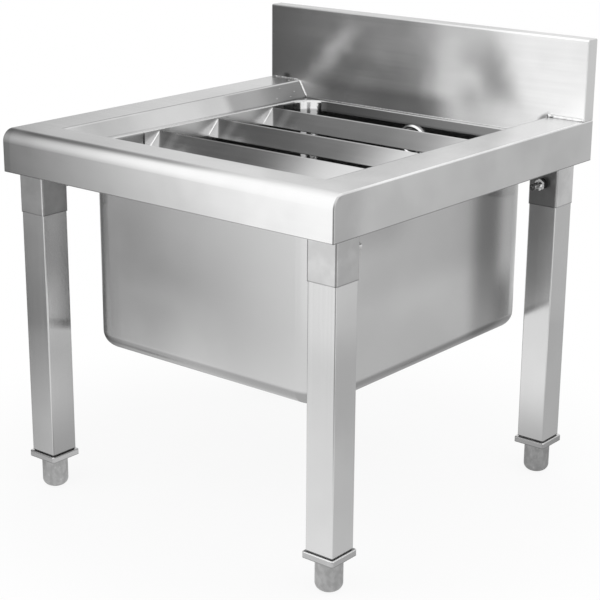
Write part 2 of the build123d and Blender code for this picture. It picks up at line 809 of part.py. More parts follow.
elbow_nose_radius = overflow_hole_radius - hole_clearance
elbow_bore = elbow_nose_radius - elbow_wall
spigot_under = overflow_z - elbow_flange_radius - spigot_length
with BuildPart() as overflow_elbow:
    with BuildSketch(overflow_plane.offset(hole_clearance)):
        Circle(elbow_nose_radius)
    extrude(amount=seal_back)
    with BuildSketch(overflow_plane.offset(seal_back)):
        Circle(elbow_flange_radius)
    extrude(amount=elbow_flange_sheet)
    with BuildSketch(overflow_plane.offset(seal_back)):
        Circle(elbow_drum_radius)
    extrude(amount=drum_depth)
    with BuildSketch(Plane.XY.offset(spigot_under)):
        with Locations((0, pipe_y)):
            Circle(spigot_radius)
    extrude(amount=spigot_length + elbow_flange_radius / 2)
    with BuildSketch(overflow_plane.offset(hole_clearance)):
        Circle(elbow_bore)
    extrude(amount=drum_back - elbow_wall - hole_clearance, mode=Mode.SUBTRACT)
    with BuildSketch(Plane.XY.offset(spigot_under)):
        with Locations((0, pipe_y)):
            Circle(spigot_radius - spigot_wall)
    extrude(amount=spigot_length + elbow_flange_radius / 2, mode=Mode.SUBTRACT)
    with BuildSketch(overflow_plane.offset(dish)):
        Circle(elbow_post_radius)
    extrude(amount=drum_back - dish)
    with BuildSketch(overflow_plane.offset(dish)):
        Circle(overflow_screw_radius + thread_clearance)
    extrude(amount=screw_length - 2 * dish + thread_clearance, mode=Mode.SUBTRACT)
overflow_elbow.part.label = "overflow_elbow"
export_step(overflow_elbow.part, "parts/overflow_elbow.step")

# Overflow pipe: straight down behind the bowl, one bend, then forward under it to the waste's spigot
pipe_top = overflow_z - elbow_flange_radius - pipe_end_gap
pipe_front = waste_y + waste_cup_radius + pipe_end_gap
bend_middle = pipe_bend_radius * math.sqrt(0.5)

with BuildPart() as overflow_pipe:
    with BuildLine() as pipe_route:
        Line((0, pipe_y, pipe_top), (0, pipe_y, spigot_z + pipe_bend_radius))
        ThreePointArc(
            (0, pipe_y, spigot_z + pipe_bend_radius),
            (0, pipe_y - pipe_bend_radius + bend_middle, spigot_z + pipe_bend_radius - bend_middle),
            (0, pipe_y - pipe_bend_radius, spigot_z),
        )
        Line((0, pipe_y - pipe_bend_radius, spigot_z), (0, pipe_front, spigot_z))
    with BuildSketch(Plane.XY.offset(pipe_top)):
        with Locations((0, pipe_y)):
            Circle(pipe_radius)
            Circle(pipe_radius - pipe_wall, mode=Mode.SUBTRACT)
    sweep(path=pipe_route.line)
overflow_pipe.part.label = "overflow_pipe"
export_step(overflow_pipe.part, "parts/overflow_pipe.step")

# Coupling nuts at both ends of the overflow pipe
top_nut_plane = Plane(origin=(0, pipe_y, pipe_top - pipe_nut_length), x_dir=(1, 0, 0), z_dir=(0, 0, 1))
front_nut_plane = Plane(origin=(0, pipe_front, spigot_z), x_dir=(1, 0, 0), z_dir=(0, 1, 0))
with BuildPart() as overflow_pipe_nuts:
    for nut_plane in (top_nut_plane, front_nut_plane):
        with BuildSketch(nut_plane):
            RegularPolygon(pipe_nut_radius, 12)
        extrude(amount=pipe_nut_length)
        with BuildSketch(nut_plane):
            Circle(pipe_radius + thread_clearance)
        extrude(amount=pipe_nut_length, mode=Mode.SUBTRACT)
overflow_pipe_nuts.part.label = "overflow_pipe_nuts"
export_step(overflow_pipe_nuts.part, "parts/overflow_pipe_nuts.step")
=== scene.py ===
import math
import random

import bmesh
import bpy
from mathutils import Matrix, Vector


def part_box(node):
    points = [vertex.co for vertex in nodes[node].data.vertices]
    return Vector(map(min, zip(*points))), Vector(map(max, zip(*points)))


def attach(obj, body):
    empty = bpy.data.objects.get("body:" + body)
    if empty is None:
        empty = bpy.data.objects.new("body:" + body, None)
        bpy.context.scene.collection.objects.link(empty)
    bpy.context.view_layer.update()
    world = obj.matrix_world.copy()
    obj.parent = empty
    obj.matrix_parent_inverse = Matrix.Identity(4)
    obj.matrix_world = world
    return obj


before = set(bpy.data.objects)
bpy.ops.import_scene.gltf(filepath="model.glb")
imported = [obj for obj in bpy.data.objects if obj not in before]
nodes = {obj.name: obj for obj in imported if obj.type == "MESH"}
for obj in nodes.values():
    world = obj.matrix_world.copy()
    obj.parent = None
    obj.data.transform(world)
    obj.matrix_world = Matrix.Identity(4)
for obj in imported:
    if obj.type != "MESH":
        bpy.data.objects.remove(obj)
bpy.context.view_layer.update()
random.seed(7)
scene = bpy.context.scene
scene.view_settings.view_transform = "Standard"

# Levels and faces of the solids, in metres
half_width = 0.25
front_y = -0.2575
rim_z = 0.4595
hem_z = 0.4085
ledge_z = 0.4368
ledge_fall = 0.0106
slope_top = 0.2000
slope_foot = 0.1870
splash_y = 0.2362
slat_names = ("slat_front", "slat_middle", "slat_rear")
slat_tops_y = (-0.066, 0.043, 0.152)
bowl_half_x = 0.1788
bowl_half_y = 0.2087
bowl_middle_y = 0.0205
bowl_floor_z = 0.1887
bowl_corner = 0.0338
bowl_rounding = 0.0188
bowl_sheet = 0.0012
leg_inner_x = 0.2025
leg_foot_z = 0.0485
socket_foot_z = 0.3575
screw_pitch = 0.00125

# The photograph's viewpoint: turned left, looking down and rolled, in degrees
camera_angles = (39.2217, 17.6044, 0.4014)
camera_place = (1.22804, -1.50843, 0.85413)
camera_lens = 98.12
camera_sensor = 36


def set_camera():
    yaw, pitch, roll = (math.radians(angle) for angle in camera_angles)
    forward = Vector((-math.sin(yaw) * math.cos(pitch), math.cos(yaw) * math.cos(pitch), -math.sin(pitch)))
    level = Vector((math.cos(yaw), math.sin(yaw), 0))
    upright = level.cross(forward)
    right = math.cos(roll) * level + math.sin(roll) * upright
    up = right.cross(forward)
    data = bpy.data.cameras.new("camera")
    data.sensor_width = camera_sensor
    data.lens = camera_lens
    data.clip_start = 0.05
    data.clip_end = 50
    camera = bpy.data.objects.new("camera", data)
    scene.collection.objects.link(camera)
    turn = Matrix((right, up, -forward)).transposed().to_4x4()
    camera.matrix_world = Matrix.Translation(camera_place) @ turn
    scene.camera = camera


set_camera()


# Short names for building node trees
class Tree:
    def __init__(self, tree):
        self.tree = tree
        tree.nodes.clear()

    def node(self, kind, inputs=None, **settings):
        made = self.tree.nodes.new(kind)
        for name, value in settings.items():
            setattr(made, name, value)
        for name, value in (inputs or {}).items():
            self.put(made.inputs[name], value)
        return made

    def put(self, socket, value):
        if isinstance(value, bpy.types.NodeSocket):
            self.tree.links.new(value, socket)
        elif isinstance(value, bpy.types.Node):
            self.tree.links.new(value.outputs[0], socket)
        else:
            socket.default_value = value

    def math(self, operation, a, b=0.0):
        return self.node("ShaderNodeMath", {0: a, 1: b}, operation=operation).outputs[0]

    def vectors(self, operation, *values):
        made = self.node("ShaderNodeVectorMath", dict(enumerate(values)), operation=operation)
        return made.outputs["Value" if operation in ("DISTANCE", "LENGTH") else "Vector"]

    def vector(self, x=0.0, y=0.0, z=0.0):
        return self.node("ShaderNodeCombineXYZ", {0: x, 1: y, 2: z}).outputs[0]

    def split(self, vector):
        return self.node("ShaderNodeSeparateXYZ", {0: vector}).outputs

    # Low on the start's side and high on the end's side, with a smooth or even rise between them
    def ramp(self, value, start, end, low=0.0, high=1.0, smooth=True):
        kind = "SMOOTHSTEP" if smooth else "LINEAR"
        inputs = {0: value, 1: start, 2: end, 3: low, 4: high}
        return self.node("ShaderNodeMapRange", inputs, interpolation_type=kind).outputs[0]

    def blend(self, share, a, b):
        return self.node("ShaderNodeMix", {0: share, 6: a, 7: b}, data_type="RGBA").outputs[2]

    def times(self, *values):
        product = values[0]
        for value in values[1:]:
            product = self.math("MULTIPLY", product, value)
        return product

    def plus(self, *values):
        total = values[0]
        for value in values[1:]:
            total = self.math("ADD", total, value)
        return total

    def minus(self, a, b):
        return self.math("SUBTRACT", a, b)

    def larger(self, a, b):
        return self.math("MAXIMUM", a, b)

    def absolute(self, value):
        return self.math("ABSOLUTE", value)

    def length(self, a, b):
        return self.math("SQRT", self.plus(self.times(a, a), self.times(b, b)))

    # High at the centre, falling to 0 at half a width away
    def hill(self, value, centre, half, high=1.0):
        return self.ramp(self.absolute(self.minus(value, centre)), 0.0, half, high, 0.0)

    def above(self, value, level):
        return self.math("GREATER_THAN", value, level)

    def below(self, value, level):
        return self.math("LESS_THAN", value, level)

    def between(self, value, low, high):
        return self.times(self.above(value, low), self.below(value, high))

    # What a shade leaves of the tone
    def less(self, shade):
        return self.minus(1.0, shade)

    # 1 where the mask is 0, and the given strength where it is 1
    def factor(self, mask, strength):
        return self.ramp(mask, 0, 1, 1.0, strength)

    def shaded(self, colour, *factors):
        inputs = {0: colour, "Scale": self.times(*factors)}
        return self.node("ShaderNodeVectorMath", inputs, operation="SCALE").outputs[0]

    def place(self):
        return self.node("ShaderNodeTexCoord").outputs["Object"]

    def axes(self):
        return self.split(self.place())

    def distance(self, point):
        return self.vectors("DISTANCE", self.place(), point)

    def stretched(self, scale):
        return self.node("ShaderNodeMapping", {"Vector": self.place(), "Scale": scale}).outputs[0]

    def noise(self, scale, detail):
        return self.node("ShaderNodeTexNoise", {"Vector": self.place(), "Scale": scale, "Detail": detail})

    def stretched_noise(self, scale, detail):
        inputs = {"Vector": self.stretched(scale), "Scale": 1.0, "Detail": detail}
        return self.node("ShaderNodeTexNoise", inputs)

    # From low to high over the range in which a noise's values mostly lie
    def mottled(self, noise, low=0.0, high=1.0):
        return self.ramp(noise, 0.3, 0.7, low, high)


def new_material(name):
    material = bpy.data.materials.new(name)
    material.use_nodes = True
    return material, Tree(material.node_tree)


def close(tree, shader):
    tree.node("ShaderNodeOutputMaterial", {"Surface": shader})


def grey(value):
    return (value, value, value, 1.0)


# Sheet metal: fine grain, clouds in tone and gloss, and a reflection drawn out across the grain. The hooks
# change it by the place on the part: paint light and shade into the tone, lean the shading normal and wear
# the gloss.
# The denoiser draws rough and smooth metal apart at a roughness of about 0.27, where edges would show, so
# each gloss stays on one side of it.
def metal(name, tone, gloss, grain=(3, 300, 300), across=(0, 1, 1), spread=0.8, blotch=0.03, fleck=0.015,
          depth=0.006, sway=0.0, paint=None, lean=None, wear=None):
    gloss_swing = 0.07
    material, t = new_material(name)
    fine = t.stretched_noise(grain, detail=3.0)
    cloud = t.noise(scale=9.0, detail=3.0)
    colour = t.blend(t.ramp(cloud, 0.35, 0.65), grey(tone - blotch), grey(tone + blotch))
    if paint:
        colour = paint(t, colour)
    clouded = t.mottled(cloud, gloss * (1 - gloss_swing), gloss * (1 + gloss_swing))
    rough = t.plus(clouded, t.mottled(fine, -fleck, fleck))
    if wear:
        rough = t.plus(rough, wear(t))
    normal = t.node("ShaderNodeBump", {"Height": fine, "Strength": depth, "Distance": 0.001})
    if sway:
        swell = t.stretched_noise((9, 9, 2), detail=1.0)
        inputs = {"Height": swell, "Strength": sway, "Distance": 0.01, "Normal": normal}
        normal = t.node("ShaderNodeBump", inputs)
    if lean:
        normal = t.vectors("NORMALIZE", t.vectors("ADD", normal, lean(t)))
    inputs = {"Base Color": colour, "Metallic": 1.0, "Roughness": rough, "Normal": normal}
    if spread:
        inputs["Anisotropic"] = spread
        inputs["Tangent"] = t.vector(*across)
    close(t, t.node("ShaderNodeBsdfPrincipled", inputs))
    return material


def plain(name, colour, gloss, spread=0.15, speck=60.0, depth=0.1):
    gloss_swing = 0.1
    material, t = new_material(name)
    noise = t.noise(scale=speck, detail=5.0)
    low = tuple(c * (1 - spread) for c in colour) + (1,)
    high = tuple(min(1, c * (1 + spread)) for c in colour) + (1,)
    tone = t.blend(t.mottled(noise), low, high)
    rough = t.mottled(noise, gloss * (1 - gloss_swing), gloss * (1 + gloss_swing))
    bump = t.node("ShaderNodeBump", {"Height": noise, "Strength": depth, "Distance": 0.0005})
    close(t, t.node("ShaderNodeBsdfPrincipled", {"Base Color": tone, "Roughness": rough, "Normal": bump}))
    return material


# The splashback isn't quite flat: its bends and hollows turn the reflection a little
def splash_lean(t):
    drift = t.vectors("ADD", t.noise(scale=15.0, detail=2.0).outputs["Color"], (-0.5, -0.5, -0.5))
    x, _, z = t.split(t.vectors("MULTIPLY_ADD", drift, (0.04, 0.0, 0.04), t.place()))
    diagonal = t.minus(x, z)
    slanted = t.plus(x, t.times(z, 0.5))
    middle = t.hill(x, -0.020, 0.105, high=-0.042)
    low = t.times(t.ramp(z, 0.545, 0.47), t.ramp(x, 0.0, 0.04, 1.0, 0.0), -0.056)
    right = t.ramp(x, 0.10, 0.17, 0.0, 0.085)
    hollow = t.times(t.hill(slanted, 0.384, 0.064, high=-0.145), t.hill(z, 0.487, 0.085))
    streak = t.times(t.hill(x, 0.050, 0.035, high=0.02), t.ramp(z, 0.56, 0.53))
    fold = t.times(t.hill(diagonal, -0.650, 0.040, high=0.075), t.ramp(z, 0.575, 0.50))
    patch = t.times(t.hill(x, -0.060, 0.040, high=0.014), t.hill(z, 0.505, 0.030))
    dip = t.times(t.hill(diagonal, -0.590, 0.030, high=-0.02), t.ramp(z, 0.50, 0.47))
    sideways = t.plus(middle, low, right, hollow, streak, fold, patch, dip)
    return t.vector(x=sideways, z=t.ramp(z, 0.56, 0.46, 0.02, 0.15))


# Heat marks beside the welds at the splashback's foot, painted shade over the foot on the left and a patch
# right of the middle, and painted light at the right end
def splash_marks(t, colour):
    x, _, z = t.axes()
    right = t.times(t.hill(x, 0.192, 0.013), t.hill(t.plus(z, t.times(x, -0.6)), 0.3420, 0.008))
    left = t.times(t.hill(x, -0.222, 0.010), t.hill(z, 0.463, 0.007))
    line = t.times(t.between(x, 0.203, 0.249), t.hill(z, 0.4628, 0.0012), 0.35)
    heat = t.plus(right, left, line)
    # Painted shade over the lower left foot and a patch, and painted light at the right end
    foot = t.times(t.ramp(z, 0.475, 0.454), t.ramp(x, 0.02, 0.07, 1.0, 0.0), t.ramp(x, -0.19, -0.14), 0.52)
    patch = t.times(t.hill(x, 0.085, 0.04), t.hill(z, 0.470, 0.03), 0.28)
    painted_bright_end = t.ramp(x, 0.08, 0.16, 1.0, 1.14)
    return t.shaded(colour, painted_bright_end, t.less(t.plus(foot, patch)), t.factor(heat, 0.35))


# Painted shade along the deck's folds and hem, over its slopes, shelf, ledge, nose band and ends, a dark line
# along the seam, and painted highlights on the front left corner and the outer edges
def deck_marks(t, colour):
    x, y, z = t.axes()
    side = t.absolute(x)
    on_rim = t.above(z, rim_z - 0.0007)
    low_sheet = t.above(z, ledge_z - 0.0028)
    # Painted shade in the folds at the slopes' top and foot, under the hem, on the ledge, slopes, shelf and
    # nose band
    crease = t.times(t.hill(side, slope_top + 0.0004, 0.0014), on_rim, t.above(y, -0.2075))
    foot = t.times(t.hill(side, slope_foot - 0.0002, 0.0012), low_sheet, t.below(z, 0.4425),
                   t.above(y, -0.1950))
    hem = t.between(z, hem_z - 0.0005, hem_z + 0.0009)
    seam = t.times(t.above(y, 0.2325), on_rim, t.above(x, slope_top + 0.0020))
    ledge = t.times(t.above(y, 0.2292), t.between(z, ledge_z - 0.0018, ledge_z + 0.0008),
                    t.below(side, slope_foot + 0.0002))

    slope = t.times(t.ramp(side, slope_top - 0.0005, slope_top - 0.0015),
                    t.ramp(side, slope_foot - 0.0005, slope_foot), t.below(z, rim_z - 0.0005), low_sheet)
    slope_shade = t.plus(t.times(t.ramp(y, 0.070, 0.092), 0.38), t.times(t.ramp(y, 0.12, 0.19), 0.27),
                         t.times(t.hill(y, -0.145, 0.11), 0.26))
    shelf = t.times(t.ramp(side, slope_foot - 0.0004, slope_foot - 0.0008), t.below(z, 0.4395), low_sheet,
                    t.ramp(y, -0.02, 0.20), 0.53)
    nose = t.times(t.hill(y, front_y + 0.0090, 0.0055), t.above(z, rim_z - 0.0055), t.ramp(x, -0.235, -0.19),
                   t.ramp(x, 0.0, 0.11, 0.45, 0.11))

    # Painted highlights on the rim's front left corner and outer edges, painted shade at the apron's right
    # end and nose's left end
    corner = (-half_width, front_y, rim_z)
    painted_light_corner = t.times(t.above(z, rim_z - 0.0005), t.ramp(t.distance(corner), 0.16, 0.02))
    apron_end = t.times(t.above(x, half_width - 0.0015), t.ramp(y, -0.180, -0.252))
    nose_end = t.times(t.ramp(x, -0.2350, -0.2410), t.below(y, -0.2440))
    painted_highlight_edge = t.times(t.above(side, half_width - 0.0016), t.above(z, rim_z - 0.0023))
    return t.shaded(colour, t.factor(t.plus(crease, foot, hem, seam), 0.5), t.factor(ledge, 0.22),
                    t.less(t.plus(t.times(slope, slope_shade), shelf)), t.less(nose),
                    t.factor(apron_end, 0.72), t.factor(painted_light_corner, 1.22), t.factor(nose_end, 0.88),
                    t.factor(painted_highlight_edge, 1.3))


# 1 on the bowl's inner surface and 0 on its outer one. A core with rounded corners lies inside, at the
# floor's rounding from the inner surface, and the limit is halfway through the sheet.
def inside_bowl(t, x, y, z):
    beside = t.larger(t.plus(t.absolute(x), bowl_corner - bowl_half_x), 0.0)
    along = t.larger(t.plus(t.absolute(t.plus(y, -bowl_middle_y)), bowl_corner - bowl_half_y), 0.0)
    outward = t.larger(t.plus(t.length(beside, along), bowl_rounding - bowl_corner), 0.0)
    downward = t.larger(t.minus(bowl_floor_z + bowl_rounding, z), 0.0)
    return t.below(t.length(outward, downward), bowl_rounding + bowl_sheet / 2)


# 1 on the rounded upper edge behind the bowl's rear wall
def rolled_edge(t, y, z):
    return t.times(t.above(y, 0.2280), t.ramp(z, 0.4215, 0.4245))


# Painted shade inside the bowl, on its rolled rear edge, in a band and the upper front of its right side, at
# its lower edge and at its left corner, and painted light low on its front and right side
def bowl_marks(t, colour):
    x, y, z = t.axes()
    inside = inside_bowl(t, x, y, z)
    outside = t.less(inside)
    right = t.times(outside, t.above(x, 0.165))
    front = t.times(outside, t.below(y, -0.15))
    # Painted shade and painted light by place on the bowl
    walls = t.times(inside, t.larger(t.ramp(z, 0.427, 0.423), t.below(y, 0.2000)))
    rolled = t.times(inside, rolled_edge(t, y, z), t.ramp(x, -0.15, 0.15, 0.86, 0.66))
    band = t.times(right, t.hill(y, 0.14, 0.06))
    upper_front = t.times(right, t.ramp(z, 0.34, 0.38), t.ramp(y, 0.0, -0.07), 0.18)
    lower_edge = t.times(outside, t.ramp(z, 0.2085, 0.2030), 0.44)
    corner_shade = t.times(t.ramp(x, -0.122, -0.168), t.ramp(z, 0.33, 0.26, 0.13, 0.28))
    left_corner = t.times(front, t.plus(corner_shade, t.times(t.ramp(x, -0.150, -0.174), 0.16)))
    right_light = t.times(right, t.ramp(z, 0.33, 0.26))
    front_light = t.times(front, t.ramp(z, 0.32, 0.26), t.ramp(x, 0.09, -0.05), t.ramp(x, -0.16, -0.10))
    return t.shaded(colour, t.less(rolled), t.factor(front_light, 1.19), t.factor(walls, 0.55),
                    t.factor(band, 0.6), t.factor(right_light, 1.16),
                    t.less(t.plus(upper_front, lower_edge, left_corner)))


# The bowl's rolled upper edge and stripes in its two rear corners catch the light from above, and its front
# right corner keeps the front's reflection until near its end
def bowl_lean(t):
    x, y, z = t.axes()
    side = t.absolute(x)
    inside = inside_bowl(t, x, y, z)
    diagonal = t.minus(y, side)
    scuffed = t.mottled(t.noise(scale=300.0, detail=2.0), 0.55, 0.9)
    clean_stripe = t.hill(diagonal, 0.0405, 0.0100)
    scuffed_stripe = t.times(t.hill(diagonal, 0.0600, 0.0120), scuffed)
    stripes = t.larger(t.plus(clean_stripe, scuffed_stripe), t.hill(diagonal, 0.0500, 0.0240, high=0.22))
    corners = t.times(t.above(y, 0.19), t.above(side, 0.14), stripes, 0.62)
    rolled = t.times(rolled_edge(t, y, z), 0.27)
    front_corner = t.times(t.below(y, -0.1540), t.ramp(x, 0.1440, 0.1480),
                           t.ramp(x, 0.1600, 0.1790, 1.0, 0.0), -6.0)
    return t.vector(y=t.times(t.less(inside), front_corner), z=t.times(inside, t.larger(corners, rolled)))


# Height on a slat as if the ledge had no fall
def level_height(t, y, z):
    return t.plus(z, t.times(y, ledge_fall))


# The slats are twisted a little by their welds, and their upper edges shine
def slat_lean(t):
    x, y, z = t.axes()
    twist = t.ramp(t.plus(x, t.times(y, -0.37)), 0.0, 0.17, 1.0, 0.0)
    edge = t.times(t.above(level_height(t, y, z), ledge_z - 0.0005), 0.5)
    left = t.times(twist, t.ramp(x, -0.168, -0.120, 0.0, -0.2))
    return t.vector(x=left, z=t.plus(t.times(twist, -0.07), edge))


# Painted shade on the slats' left ends, apart from a bright triangle at the weld
def slat_marks(t, colour):
    x, y, z = t.axes()
    down = t.minus(ledge_z, level_height(t, y, z))
    past_triangle = t.ramp(t.plus(x, 0.1780, t.times(down, -0.86)), 0.0, 0.003)
    end = t.times(t.ramp(x, -0.143, -0.160), 0.68)
    beside = t.times(t.hill(x, -0.138, 0.018), t.ramp(down, 0.0, 0.016, 0.14, 0.34))
    return t.shaded(colour, t.less(t.times(past_triangle, t.plus(end, beside))))


# Painted shade in the gap under each leg and on the flange's lower part, and a painted highlight on its upper
# edge
def insert_marks(t, colour):
    _, _, z = t.axes()
    gap_foot = leg_foot_z - 0.00115
    gap = t.above(z, gap_foot)
    edge = t.between(z, leg_foot_z - 0.0021, gap_foot)
    low = t.ramp(z, 0.0412, 0.0400)
    return t.shaded(colour, t.factor(gap, 0.06), t.factor(edge, 1.6), t.factor(low, 0.5))


# Painted shade on the front left leg at the foot of its front and on its inner face, with painted light on
# the inner face above its middle, and every leg ends in a darker edge
def leg_marks(t, colour):
    x, y, z = t.axes()
    inner = t.times(t.below(y, 0.0), t.between(x, -leg_inner_x - 0.0005, -leg_inner_x + 0.0005))
    inner_shade = t.plus(t.times(t.ramp(z, 0.20, 0.05), 0.52), t.hill(z, 0.247, 0.07, high=-0.36))
    front = t.times(t.below(y, -0.2390), t.below(x, 0.0), t.ramp(z, 0.11, 0.05), 0.2)
    shade = t.plus(t.times(inner, inner_shade), front)
    return t.shaded(colour, t.less(shade), t.factor(t.below(z, leg_foot_z + 0.0007), 0.3))


# The front left leg is bowed a little
def leg_lean(t):
    x, y, z = t.axes()
    bow = t.plus(0.02, t.times(t.hill(z, 0.23, 0.13), 0.03))
    return t.vector(x=t.times(t.below(x, 0.0), t.below(y, 0.0), bow))


# The rear legs are smoother than the front ones
def leg_wear(t):
    _, y, _ = t.axes()
    return t.times(t.above(y, 0.0), -0.095)


# Painted shade on the left sockets' inner side, the rear right one's front and the front right one's outer
# side, and painted light on the rear right one's outer side. All have smoke from the welds and a dark lower
# edge.
def socket_marks(t, colour):
    x, y, z = t.axes()
    inner = t.between(x, -leg_inner_x - 0.0005, -0.1900)
    rear = t.times(t.between(y, 0.1900, 0.1965), t.above(x, 0.0), 0.5)
    outer = t.times(t.above(x, 0.2395), t.ramp(y, -0.1, 0.1, -0.18, 0.18))
    edge = t.ramp(z, socket_foot_z + 0.0017, socket_foot_z + 0.0005, 1.0, 0.6)
    smoke = t.ramp(t.noise(scale=40.0, detail=3.0), 0.35, 0.65, 0.92, 1.06)
    return t.shaded(colour, edge, t.minus(t.plus(outer, 1.0), rear), t.factor(inner, 0.72), smoke)


# Mottled casting with a few bright scratches, and painted shade at its foot
def cup_marks(t, colour):
    _, _, z = t.axes()
    mottle = t.ramp(t.stretched_noise((170, 170, 130), detail=3.0), 0.35, 0.65, 0.92, 1.10)
    scratches = t.ramp(t.stretched_noise((420, 420, 200), detail=2.0), 0.62, 0.70, 1.0, 1.16)
    return t.shaded(colour, mottle, scratches, t.ramp(z, 0.0030, 0.0014, 1.0, 0.4))


# Smoky marks that the welding left on the rack's side strips
def strip_marks(t, colour):
    _, y, z = t.axes()
    smoke = t.ramp(t.noise(scale=55.0, detail=4.0), 0.42, 0.62)
    weld_line = t.minus(y, z)
    near = t.plus(*(t.hill(weld_line, top - 0.430, 0.022) for top in slat_tops_y))
    return t.shaded(colour, t.factor(t.times(near, smoke), 0.68))


# 1 on the end faces of the lock nuts and screws
def end_face(t):
    normal = t.split(t.node("ShaderNodeNewGeometry").outputs["True Normal"])
    return t.above(t.absolute(normal[1]), 0.9)


# Painted light on the nuts' end faces, which also lean up to the light, and painted shade on their sides
def nut_marks(t, colour):
    return t.shaded(colour, t.ramp(end_face(t), 0, 1, 0.14, 1.1))


def nut_lean(t):
    face = end_face(t)
    return t.vector(x=t.times(face, 0.25), z=t.times(face, 0.6))


# Painted shade on the end faces, and painted shade that runs along the screw with the pitch of its thread
def screw_marks(t, colour):
    _, y, _ = t.axes()
    thread = t.ramp(t.math("SINE", t.times(y, math.tau / screw_pitch)), -1, 1, 0.8, 1.1)
    return t.shaded(colour, t.factor(end_face(t), 0.25), thread)


upright_grain = {"grain": (300, 300, 3), "across": (1, 1, 0)}
looks = {
    "deck": metal("deck_steel", tone=0.74, gloss=0.24, blotch=0.045, paint=deck_marks),
    "splash": metal("splash_steel", tone=0.74, gloss=0.24, sway=0.03, paint=splash_marks, lean=splash_lean),
    "bowl": metal("bowl_steel", tone=0.67, gloss=0.25, **upright_grain, blotch=0.015, fleck=0.004, depth=0.0,
                  paint=bowl_marks, lean=bowl_lean),
    "slat": metal("slat_steel", tone=0.60, gloss=0.19, across=(1, 0, 0), spread=0.65, blotch=0.02,
                  paint=slat_marks, lean=slat_lean),
    "weld": metal("weld_metal", tone=0.80, gloss=0.22, grain=(250, 250, 250), spread=0, blotch=0.08,
                  depth=0.3),
    "strip": metal("strip_steel", tone=0.72, gloss=0.305, grain=(30, 30, 30), spread=0, fleck=0.004,
                   paint=strip_marks),
    "leg": metal("leg_steel", tone=0.70, gloss=0.235, **upright_grain, spread=0.9, blotch=0.02,
                 paint=leg_marks, lean=leg_lean, wear=leg_wear),
    "socket": metal("socket_steel", tone=0.66, gloss=0.31, grain=(300, 300, 30), across=(1, 1, 0), spread=0.6,
                    fleck=0.005, paint=socket_marks),
    "bracket": metal("bracket_steel", tone=0.5, gloss=0.35, spread=0),
    "bolt": metal("bolt_steel", tone=0.75, gloss=0.16, grain=(60, 60, 60), spread=0),
    "insert": metal("insert_metal", tone=0.50, gloss=0.32, grain=(80, 80, 80), spread=0, depth=0.1,
                    paint=insert_marks),
    "cast": metal("cast_metal", tone=0.45, gloss=0.5, grain=(400, 400, 400), spread=0, blotch=0.06,
                  depth=0.4, paint=cup_marks),
    "nut": metal("nut_steel", tone=0.75, gloss=0.16, grain=(60, 60, 60), spread=0,
                 paint=nut_marks, lean=nut_lean),
    "screw": metal("screw_steel", tone=0.80, gloss=0.14, grain=(60, 60, 60), spread=0, paint=screw_marks),
    "chrome": metal("chrome", tone=0.8, gloss=0.06, grain=(50, 50, 50), depth=0.0, spread=0),
    "plastic": plain("waste_plastic", colour=(0.74, 0.74, 0.72), gloss=0.45, spread=0.03, speck=25.0,
                     depth=0.03),
    "rubber": plain("rubber", colour=(0.03, 0.03, 0.03), gloss=0.6),
}

# The look of each node by the start of its name, of which the longest counts
node_looks = {
    "deck": "deck", "rear_rail": "deck", "splash": "splash", "bowl": "bowl", "slat": "slat",
    "rack_side": "strip", "gusset": "bracket", "socket": "socket", "leg": "leg",
    "foot_insert": "insert", "foot_cup": "cast", "foot_stud": "bolt",
    "lock_nuts": "nut", "lock_screws": "screw",
    "waste_cup": "chrome", "waste_seal": "rubber", "waste_slip": "plastic", "waste_backnut": "plastic",
    "strainer_stopper": "rubber", "strainer": "chrome", "overflow_rosette": "chrome",
    "overflow_screw": "chrome", "overflow_seal": "rubber", "overflow": "plastic",
}


def look_of(node):
    starts = [start for start in node_looks if node.startswith(start)]
    return looks[node_looks[max(starts, key=len)]]


for name, thing in nodes.items():
    thing.data.materials.clear()
    thing.data.materials.append(look_of(name))


def new_object(name, shape, material):
    mesh = bpy.data.meshes.new(name)
    shape.to_mesh(mesh)
    shape.free()
    mesh.materials.append(material)
    made = bpy.data.objects.new(name, mesh)
    scene.collection.objects.link(made)
    return made


# A rippled weld bead along a joint, thinner at both ends and a little uneven
def bead(shape, start, end, radius, pitch):
    sides = 8
    steps_per_ripple = 4
    ripple = 0.25
    end_width = 0.25
    end_growth = 6
    uneven = 0.08
    wander = 0.1
    start, end = Vector(start), Vector(end)
    along = (end - start).normalized()
    first = along.cross(Vector((0.3, 0.2, 1.0))).normalized()
    second = along.cross(first)
    steps = max(8, int((end - start).length / pitch * steps_per_ripple))
    rings = []
    for step in range(steps + 1):
        share = step / steps
        taper = min(1.0, end_growth * share + end_width, end_growth * (1 - share) + end_width)
        swell = ripple * abs(math.sin(math.pi * step / steps_per_ripple))
        wide = radius * taper * (1 + swell + random.uniform(-uneven, uneven))
        centre = start.lerp(end, share) + first * random.uniform(-wander, wander) * radius
        ring = []
        for place in range(sides):
            turn = math.tau * place / sides
            ring.append(shape.verts.new(centre + wide * (math.cos(turn) * first + math.sin(turn) * second)))
        rings.append(ring)
    for one, two in zip(rings, rings[1:]):
        for place in range(sides):
            after = (place + 1) % sides
            shape.faces.new((one[place], one[after], two[after], two[place]))
    shape.faces.new(rings[0])
    shape.faces.new(rings[-1])


# A lump of weld metal, lower than it is wide
def drop(shape, centre, radius, flat=0.6):
    uneven = 0.12
    made = bmesh.ops.create_icosphere(shape, subdivisions=2, radius=radius)
    for vertex in made["verts"]:
        swell = 1 + random.uniform(-uneven, uneven)
        vertex.co = Vector((vertex.co.x * swell, vertex.co.y * swell, vertex.co.z * flat)) + Vector(centre)


def finish_piece(shape, name, body):
    bmesh.ops.recalc_face_normals(shape, faces=shape.faces)
    piece = new_object(name, shape, looks["weld"])
    for face in piece.data.polygons:
        face.use_smooth = True
    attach(piece, body)


